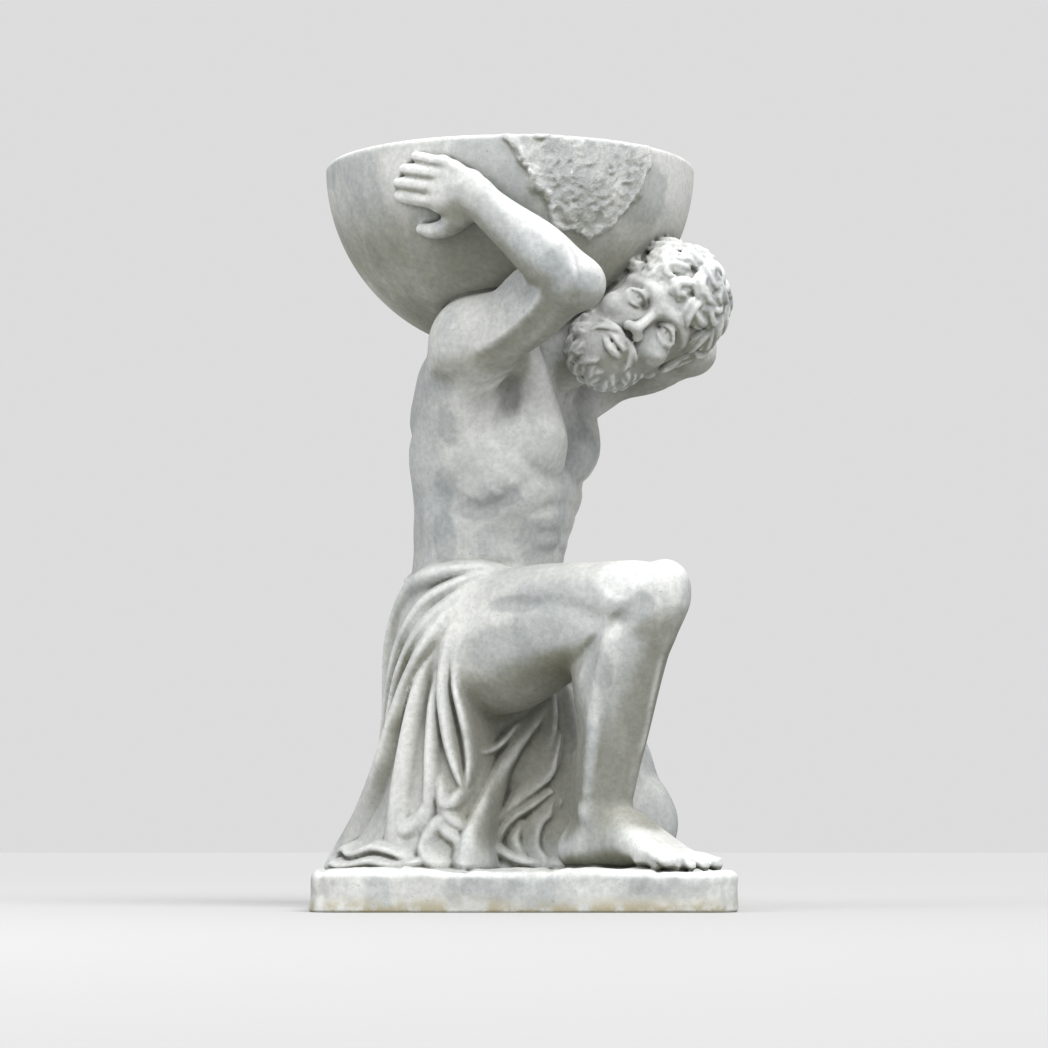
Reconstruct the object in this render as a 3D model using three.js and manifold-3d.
// Kneeling bearer carrying a half-globe planter bowl, a cast-stone garden statue in one casting.
// Millimetres, +Z up. The origin is the middle of the underside of the base slab, +X runs along its long side.
// The figure is laid out in its own frame: x forward from the chest, y to the figure's left, z up from the ground.
import * as THREE from "three";
import { mergeVertices } from "three/addons/utils/BufferGeometryUtils.js";
import Module from "manifold-3d";

const wasm = await Module();
wasm.setup();

// Driving dimensions
const OVERALL_HEIGHT = 1140;
const BASE_LENGTH = 622;
const BASE_WIDTH = 580;
const BASE_THICK = 62;
const BASE_CORNER = 55;
const BASE_EDGE = 12;
const BOWL_RADIUS = 282;
const BOWL_WALL = 28;
const BOWL_FLOOR_DEPTH = 226;
const FIGURE_TURN = 36; // degrees, from the base's long side towards its front
const FIGURE_PLACE = [-54, 65]; // the body's axis on the base

// The bowl's middle in the figure's frame: the rim lies level through the sphere's middle
const BOWL = new THREE.Vector3(40, 0, OVERALL_HEIGHT);
// The head is bowed forward and to the left, and the face is turned to the right
const HEAD = new THREE.Vector3(268, 51, 898);
const HEAD_UP = new THREE.Vector3(0.724, 0.545, 0.423).normalize();
const HEAD_FRONT = new THREE.Vector3(0.59, -0.78, -0.15);
HEAD_FRONT.addScaledVector(HEAD_UP, -HEAD_FRONT.dot(HEAD_UP)).normalize();
const HEAD_LEFT = new THREE.Vector3().crossVectors(HEAD_UP, HEAD_FRONT);

const LIMB_SIDES = 12;
const TORSO_SIDES = 18;
const FINGER_SIDES = 6;
const DRAPE_SIDES = 56;

const RIGHT = -1;
const LEFT = 1;
const X_AXIS = new THREE.Vector3(1, 0, 0);
const Y_AXIS = new THREE.Vector3(0, 1, 0);

// A closed skin over rings of equal count, with a fan to a middle point at each end.
function skin(rings, firstTip, lastTip) {
  const count = rings[0].length;
  const points = [...rings.flat(), firstTip, lastTip];
  const first = points.length - 2;
  const last = points.length - 1;
  const faces = [];
  const end = (rings.length - 1) * count;
  for (let i = 0; i < count; i++) {
    const next = (i + 1) % count;
    faces.push(first, next, i);
    faces.push(last, end + i, end + next);
    for (let r = 0; r < rings.length - 1; r++) {
      const a = r * count;
      const b = a + count;
      faces.push(a + i, a + next, b + next, a + i, b + next, b + i);
    }
  }
  return new THREE.BufferGeometry().setFromPoints(points).setIndex(faces);
}

// A limb: oval rings on a smooth path through stations [x, y, z, half width, half depth].
// The width runs along `across`, squared to the path, and each end is a low dome.
function limb(stations, across, sides = LIMB_SIDES, steps = stations.length) {
  const path = new THREE.CatmullRomCurve3(stations.map((s) => new THREE.Vector3(...s.slice(0, 3))));
  const sizes = new THREE.CatmullRomCurve3(stations.map((s) => new THREE.Vector3(s[3], s[4], 0)));
  const rings = [];
  const tips = [];
  for (let i = 0; i < steps; i++) {
    const t = i / (steps - 1);
    const middle = path.getPoint(t);
    const along = path.getTangent(t);
    const size = sizes.getPoint(t);
    const wide = across.clone().addScaledVector(along, -across.dot(along)).normalize();
    const deep = new THREE.Vector3().crossVectors(along, wide);
    const ring = [];
    for (let k = 0; k < sides; k++) {
      const angle = (2 * Math.PI * k) / sides;
      ring.push(
        middle
          .clone()
          .addScaledVector(wide, size.x * Math.cos(angle))
          .addScaledVector(deep, size.y * Math.sin(angle)),
      );
    }
    rings.push(ring);
    const dome = (i === 0 ? -0.45 : 0.45) * Math.min(size.x, size.y);
    tips.push(middle.clone().addScaledVector(along, dome));
  }
  return skin(rings, tips[0], tips[steps - 1]);
}

// An oval ball: half sizes along three axes, which default to the figure's own.
function ball(middle, half, axes = [X_AXIS, Y_AXIS, new THREE.Vector3(0, 0, 1)], sides = 10, rows = 6) {
  const place = new THREE.Matrix4().makeBasis(
    axes[0].clone().multiplyScalar(half[0]),
    axes[1].clone().multiplyScalar(half[1]),
    axes[2].clone().multiplyScalar(half[2]),
  );
  return new THREE.SphereGeometry(1, sides, rows).applyMatrix4(place.setPosition(...middle));
}

// A round finger, toe or lock of hair through points, of radii that follow the points.
function rod(points, radii, across, sides = FINGER_SIDES) {
  const stations = points.map((p, i) => [p.x, p.y, p.z, radii[i], radii[i]]);
  return limb(stations, across, sides, points.length);
}

// The point on the bowl's outside at a given x and z on one side, lifted off its surface.
function onBowl(side, x, z, lift) {
  const reach = BOWL_RADIUS + lift;
  const y = Math.sqrt(reach ** 2 - (x - BOWL.x) ** 2 - (z - BOWL.z) ** 2);
  return new THREE.Vector3(x, side * y, z);
}

// A point given along the head's own front, left and up directions.
function inHead(front, left, up) {
  return HEAD.clone()
    .addScaledVector(HEAD_FRONT, front)
    .addScaledVector(HEAD_LEFT, left)
    .addScaledVector(HEAD_UP, up);
}

// Solids and their joining
function solid(geometry) {
  const bare = geometry.clone();
  for (const name of Object.keys(bare.attributes)) {
    if (name !== "position") bare.deleteAttribute(name);
  }
  const merged = mergeVertices(bare, 1e-3);
  return new wasm.Manifold(
    new wasm.Mesh({
      numProp: 3,
      vertProperties: new Float32Array(merged.attributes.position.array),
      triVerts: new Uint32Array(merged.index.array),
    }),
  );
}

function joined(geometries) {
  return geometries.map(solid).reduce((whole, piece) => whole.add(piece));
}

function geometryOf(made) {
  const mesh = made.getMesh();
  return new THREE.BufferGeometry()
    .setAttribute("position", new THREE.BufferAttribute(mesh.vertProperties, 3))
    .setIndex(new THREE.BufferAttribute(mesh.triVerts, 1));
}

// Base: a slab with rounded corners and a softened top edge
function base() {
  const outline = (inset, z) => {
    const x = BASE_LENGTH / 2 - BASE_CORNER;
    const y = BASE_WIDTH / 2 - BASE_CORNER;
    const r = BASE_CORNER - inset;
    const shape = new THREE.Path();
    shape.absarc(x, y, r, 0, Math.PI / 2);
    shape.absarc(-x, y, r, Math.PI / 2, Math.PI);
    shape.absarc(-x, -y, r, Math.PI, 1.5 * Math.PI);
    shape.absarc(x, -y, r, 1.5 * Math.PI, 2 * Math.PI);
    return shape.getPoints(6).slice(0, -1).map((p) => new THREE.Vector3(p.x, p.y, z));
  };
  const levels = [
    [0, 0],
    [0, BASE_THICK - BASE_EDGE],
    [BASE_EDGE * 0.3, BASE_THICK - BASE_EDGE * 0.3],
    [BASE_EDGE, BASE_THICK],
  ];
  const rings = levels.map(([inset, z]) => outline(inset, z));
  return skin(rings, new THREE.Vector3(0, 0, 0), new THREE.Vector3(0, 0, BASE_THICK));
}

// Bowl: the lower half of a globe, hollow, with a rounded lip and a flat floor inside
function bowl() {
  const inner = BOWL_RADIUS - BOWL_WALL;
  const lip = BOWL_WALL / 2;
  const floor = Math.sqrt(inner ** 2 - BOWL_FLOOR_DEPTH ** 2);
  const profile = [];
  const outerRows = 9;
  for (let i = 0; i <= outerRows; i++) {
    const angle = -Math.PI / 2 + (i / outerRows) * (Math.PI / 2 - lip / BOWL_RADIUS);
    profile.push([BOWL_RADIUS * Math.cos(angle), BOWL_RADIUS * Math.sin(angle)]);
  }
  const lipRows = 4;
  for (let i = 1; i < lipRows; i++) {
    const angle = (i / lipRows) * Math.PI;
    profile.push([BOWL_RADIUS - lip + lip * Math.cos(angle), -lip + lip * Math.sin(angle)]);
  }
  const innerRows = 5;
  const floorAngle = -Math.atan2(BOWL_FLOOR_DEPTH, floor);
  for (let i = 0; i <= innerRows; i++) {
    const angle = -lip / inner + (i / innerRows) * (floorAngle + lip / inner);
    profile.push([inner * Math.cos(angle), inner * Math.sin(angle)]);
  }
  profile[0][0] = 0;
  profile.push([0, -BOWL_FLOOR_DEPTH]);
  const points = profile.map(([r, z]) => new THREE.Vector2(r, z));
  return new THREE.LatheGeometry(points, 36)
    .rotateX(Math.PI / 2)
    .translate(BOWL.x, BOWL.y, BOWL.z);
}

// A land mass raised on the globe: a wavy outline about a direction, domed a few millimetres proud.
function landMass(lonDeg, latDeg, reachDeg, lobes, stretch) {
  const lon = THREE.MathUtils.degToRad(lonDeg);
  const lat = THREE.MathUtils.degToRad(latDeg);
  const out = new THREE.Vector3(Math.cos(lat) * Math.cos(lon), Math.cos(lat) * Math.sin(lon), Math.sin(lat));
  const east = new THREE.Vector3(-Math.sin(lon), Math.cos(lon), 0);
  const north = new THREE.Vector3().crossVectors(out, east);
  const count = 24;
  const ring = (share, lift) => {
    const points = [];
    for (let i = 0; i < count; i++) {
      const turn = (2 * Math.PI * i) / count;
      const wave = 1 + lobes.reduce((sum, size, k) => sum + size * Math.cos((k + 2) * turn + k), 0);
      const reach = THREE.MathUtils.degToRad(reachDeg) * wave * share;
      const aim = out
        .clone()
        .addScaledVector(east, Math.tan(reach * stretch * Math.cos(turn)))
        .addScaledVector(north, Math.tan(reach * Math.sin(turn)));
      points.push(aim.setLength(BOWL_RADIUS + lift).add(BOWL));
    }
    return points;
  };
  const foot = out.clone().setLength(BOWL_RADIUS - 14).add(BOWL);
  const crown = out.clone().setLength(BOWL_RADIUS + 7).add(BOWL);
  return skin([ring(1, -12), ring(1, 1), ring(0.9, 6)], foot, crown);
}

// Torso: pelvis, waist, rib cage and shoulder yoke, leaning forward as it rises
function torso() {
  const trunk = [
    [-8, 0, 400, 136, 112],
    [-8, 0, 490, 134, 108],
    [-5, 0, 548, 127, 106],
    [2, 0, 600, 136, 114],
    [12, 0, 650, 150, 124],
    [24, 0, 710, 162, 130],
    [34, 0, 770, 162, 124],
    [44, 0, 830, 150, 104],
    [58, 0, 880, 108, 76],
  ];
  const chest = [LEFT, RIGHT].map((side) => ball([96, side * 66, 762], [48, 74, 54]));
  const blades = [LEFT, RIGHT].map((side) => ball([-8, side * 78, 790], [52, 60, 84]));
  const flanks = [LEFT, RIGHT].map((side) => ball([26, side * 118, 716], [70, 50, 116]));
  return [limb(trunk, Y_AXIS, TORSO_SIDES), ...chest, ...blades, ...flanks];
}

// Arm: shoulder cap, upper arm to the raised elbow, forearm back to the bowl, and the hand on it
function arm(side, elbow, wrist, handShift) {
  const shoulder = new THREE.Vector3(80, side * 150, 848);
  const reach = elbow.clone().sub(shoulder);
  const upper = [
    [0, 60, 66],
    [0.25, 58, 64],
    [0.55, 52, 58],
    [0.8, 45, 51],
    [1, 42, 45],
  ].map(([t, wide, deep]) => [...shoulder.clone().addScaledVector(reach, t).toArray(), wide, deep]);
  const back = wrist.clone().sub(elbow);
  const lower = [
    [-0.04, 40, 44],
    [0.25, 44, 46],
    [0.6, 36, 36],
    [1, 28, 25],
    [1.18, 33, 21],
  ].map(([t, wide, deep]) => [...elbow.clone().addScaledVector(back, t).toArray(), wide, deep]);
  const caps = [
    ball([66, side * 152, 852], [62, 58, 70]),
    ball(shoulder.clone().lerp(elbow, 0.5).toArray().map((v, i) => v + [0, 0, 18][i]), [70, 42, 42]),
  ];
  return [limb(upper, Y_AXIS), limb(lower, new THREE.Vector3(0, 0, 1)), ...caps, ...hand(side, wrist, handShift)];
}

function hand(side, wrist, shift) {
  const knuckles = [
    [110, 1043],
    [120, 1062],
    [126, 1081],
    [126, 1100],
  ];
  const tips = [
    [42, 1062],
    [44, 1080],
    [58, 1099],
    [78, 1116],
  ];
  const palmEnd = onBowl(side, 112 + shift, 1070, 8);
  const palm = [
    [...wrist.toArray(), 30, 22],
    [...onBowl(side, 148 + shift, 1060, 16).toArray(), 38, 20],
    [...palmEnd.toArray(), 40, 15],
  ];
  const up = new THREE.Vector3(0, 0, 1);
  const fingers = knuckles.map(([x, z], i) => {
    const [tipX, tipZ] = tips[i];
    const steps = [0, 0.5, 1];
    const route = steps.map((t) => {
      return onBowl(side, x + (tipX - x) * t + shift, z + (tipZ - z) * t, 12 - 6 * t);
    });
    return rod(route, [12, 11, 8], up);
  });
  const thumb = rod(
    [onBowl(side, 156 + shift, 1028, 14), onBowl(side, 112 + shift, 1006, 9), onBowl(side, 70 + shift, 1010, 5)],
    [17, 14, 9],
    up,
  );
  return [limb(palm, up, 10, 4), ...fingers, thumb];
}

// Head: neck, skull, jaw and beard, brow, nose, ears and the mass of curls
function head() {
  const axes = [HEAD_FRONT, HEAD_LEFT, HEAD_UP];
  const neck = [
    [58, 0, 830, 80, 74],
    [120, 12, 856, 64, 62],
    [190, 28, 876, 58, 58],
    [246, 40, 892, 54, 54],
  ];
  const masses = [
    ball(inHead(-10, 0, 28).toArray(), [94, 78, 90], axes, 12, 8),
    ball(inHead(22, 0, -40).toArray(), [64, 62, 78], axes),
    ball(inHead(42, 0, -94).toArray(), [44, 52, 48], axes),
    ball(inHead(70, 0, 26).toArray(), [16, 46, 12], axes, 10, 6),
  ];
  const nose = rod(
    [inHead(74, 0, 18), inHead(88, 0, -4), inHead(94, 0, -20)],
    [9, 11, 14],
    HEAD_LEFT,
    8,
  );
  return [limb(neck, Y_AXIS), ...masses, nose, ...curls()];
}

// Curls: knobs spread evenly over the scalp by the golden angle, leaving the face bare
function curls() {
  const total = 30;
  const knobs = [];
  for (let i = 0; i < total; i++) {
    const up = 1 - (2 * (i + 0.5)) / total;
    const turn = i * Math.PI * (3 - Math.sqrt(5));
    const wide = Math.sqrt(1 - up * up);
    const front = wide * Math.cos(turn);
    const left = wide * Math.sin(turn);
    const onFace = front > 0.35 && up < 0.62;
    if (onFace || up < -0.45) continue;
    const place = inHead(-12 + 90 * front, 76 * left, 28 + 88 * up);
    knobs.push(ball(place.toArray(), [24, 24, 24], [HEAD_FRONT, HEAD_LEFT, HEAD_UP], 6, 4));
  }
  return knobs;
}

// Right leg: thigh level to the raised knee, shin down to the planted foot
function rightLeg() {
  const thigh = [
    [0, -82, 408, 88, 98],
    [100, -82, 412, 88, 101],
    [190, -81, 424, 80, 92],
    [270, -80, 440, 68, 75],
    [330, -80, 452, 58, 62],
    [368, -80, 456, 48, 52],
  ];
  const shin = [
    [348, -80, 446, 52, 58],
    [312, -80, 375, 57, 66],
    [296, -80, 328, 56, 66],
    [283, -80, 260, 50, 58],
    [270, -80, 190, 42, 48],
    [264, -80, 140, 38, 44],
    [262, -80, 98, 36, 46],
  ];
  return [limb(thigh, Y_AXIS, 14), limb(shin, Y_AXIS, 14), ...foot()];
}

// Foot: heel, arch and ball as one sloped form, then five toes in a falling row
function foot() {
  const sole = BASE_THICK - 2;
  const form = [
    [222, -80, sole + 30, 30, 31],
    [262, -80, sole + 44, 38, 45],
    [312, -80, sole + 44, 42, 45],
    [368, -82, sole + 28, 49, 29],
    [424, -84, sole + 14, 50, 16],
  ];
  const toes = [0, 1, 2, 3, 4].map((i) => {
    const y = -48 - i * 18;
    const root = new THREE.Vector3(412 - i * 6, y, sole + 17);
    const tip = new THREE.Vector3(470 - i * i * 2 - i * 5, y - 2, sole + 10);
    const size = i === 0 ? 14 : 10;
    return rod([root, root.clone().lerp(tip, 0.55), tip], [size, size, size * 0.8], Y_AXIS);
  });
  return [limb(form, Y_AXIS, 14), ...toes];
}

// Left leg: thigh down to the knee on the base, shin lying back under the cloth
function leftLeg() {
  const thigh = [
    [0, 84, 418, 90, 94],
    [75, 88, 340, 84, 92],
    [145, 92, 250, 74, 80],
    [205, 95, 172, 63, 68],
    [238, 96, 128, 56, 60],
  ];
  const shin = [
    [236, 96, 116, 54, 54],
    [140, 95, 112, 54, 54],
    [20, 92, 108, 50, 50],
    [-90, 90, 104, 42, 44],
  ];
  return [limb(thigh, Y_AXIS), limb(shin, Y_AXIS)];
}

// Drapery: one cloth wrapped at the hips and falling to the base on all sides but under the raised thigh.
// Each level's outline is a smooth closed curve through reaches at these angles from straight ahead.
const DRAPE_ANGLES = [-180, -143, -110, -85, -66, -48, -28, 0, 25, 60, 100, 140];
const DRAPE_LEVELS = [
  { z: 526, reach: [104, 112, 128, 132, 128, 116, 108, 104, 110, 126, 130, 112] },
  { z: 496, reach: [124, 130, 146, 152, 150, 138, 122, 118, 124, 142, 148, 132] },
  { z: 404, reach: [150, 158, 164, 168, 164, 136, 118, 122, 140, 158, 160, 154] },
  { z: 265, reach: [166, 166, 168, 168, 162, 118, 108, 140, 190, 188, 174, 172] },
  { z: 160, reach: [196, 187, 178, 174, 166, 112, 108, 150, 214, 196, 184, 190] },
  { z: 90, reach: [232, 220, 200, 186, 172, 124, 122, 170, 222, 204, 196, 204] },
  { z: 61, reach: [246, 240, 218, 194, 178, 134, 132, 182, 226, 208, 202, 212] },
];
const TUCK_ANGLE = -52; // where the cloth is gathered at the front of the right hip
const TUCK_HEIGHT = 522;
const FOLD_SPACING = 17; // degrees between folds once they have fallen the full height
const FOLD_DEPTH = 9;

// A fold leaves the tuck level and falls along a parabola, so folds fan out from there and drop plumb.
function fold(angle, z) {
  const drop = Math.max(TUCK_HEIGHT - z, 0) / TUCK_HEIGHT;
  const fan = Math.abs(THREE.MathUtils.euclideanModulo(TUCK_ANGLE - angle + 180, 360) - 180);
  const along = fan / Math.sqrt(drop + 0.03);
  const grow = THREE.MathUtils.smoothstep(drop, 0.02, 0.3);
  return FOLD_DEPTH * grow * Math.cos((2 * Math.PI * along) / FOLD_SPACING);
}

function drapery() {
  const outlines = DRAPE_LEVELS.map(({ reach }) => {
    const points = reach.map((r, i) => {
      const angle = THREE.MathUtils.degToRad(DRAPE_ANGLES[i]);
      return new THREE.Vector3(r * Math.cos(angle), r * Math.sin(angle), 0);
    });
    return new THREE.CatmullRomCurve3(points, true);
  });
  const steps = 10;
  const rings = [];
  for (let i = 0; i <= steps; i++) {
    const t = (i / steps) * (outlines.length - 1);
    const low = Math.min(Math.floor(t), outlines.length - 2);
    const share = t - low;
    const z = THREE.MathUtils.lerp(DRAPE_LEVELS[low].z, DRAPE_LEVELS[low + 1].z, share);
    const ring = [];
    for (let k = 0; k < DRAPE_SIDES; k++) {
      const around = k / DRAPE_SIDES;
      const point = outlines[low].getPoint(around).lerp(outlines[low + 1].getPoint(around), share);
      const angle = THREE.MathUtils.radToDeg(Math.atan2(point.y, point.x));
      point.setLength(point.length() + fold(angle, z));
      ring.push(point.setZ(z));
    }
    rings.push(ring);
  }
  rings.reverse();
  return [skin(rings, new THREE.Vector3(0, 0, DRAPE_LEVELS.at(-1).z), new THREE.Vector3(0, 0, DRAPE_LEVELS[0].z))];
}

// The casting: every form of the figure, turned and set on the base, joined with the base and bowl
function casting() {
  const place = new THREE.Matrix4()
    .makeRotationZ(-THREE.MathUtils.degToRad(FIGURE_TURN))
    .setPosition(FIGURE_PLACE[0], FIGURE_PLACE[1], 0);
  const figure = [
    ...torso(),
    ...head(),
    ...arm(RIGHT, new THREE.Vector3(328, -200, 920), new THREE.Vector3(176, -264, 1042), 0),
    ...arm(LEFT, new THREE.Vector3(255, 200, 868), new THREE.Vector3(144, 278, 1030), -32),
    ...rightLeg(),
    ...leftLeg(),
    ...drapery(),
  ];
  const inside = solid(new THREE.SphereGeometry(BOWL_RADIUS - BOWL_WALL / 2, 32, 20).translate(BOWL.x, BOWL.y, BOWL.z));
  const carried = [bowl(), landMass(-32, -19, 13, [0.14, 0.12, 0.05], 1.25), landMass(130, -22, 14, [0.1, 0.14, 0.08], 1.5)];
  const upper = joined(figure).subtract(inside).add(joined(carried));
  const onBase = geometryOf(upper).applyMatrix4(place);
  return geometryOf(solid(onBase).add(solid(base())));
}

const stone = new THREE.MeshStandardMaterial({ color: 0xb9bcb9, roughness: 0.85, metalness: 0 });
const statue = new THREE.Mesh(casting(), stone);
statue.name = "atlas_planter_casting";

const part = new THREE.Group();
part.add(statue);
export default part;
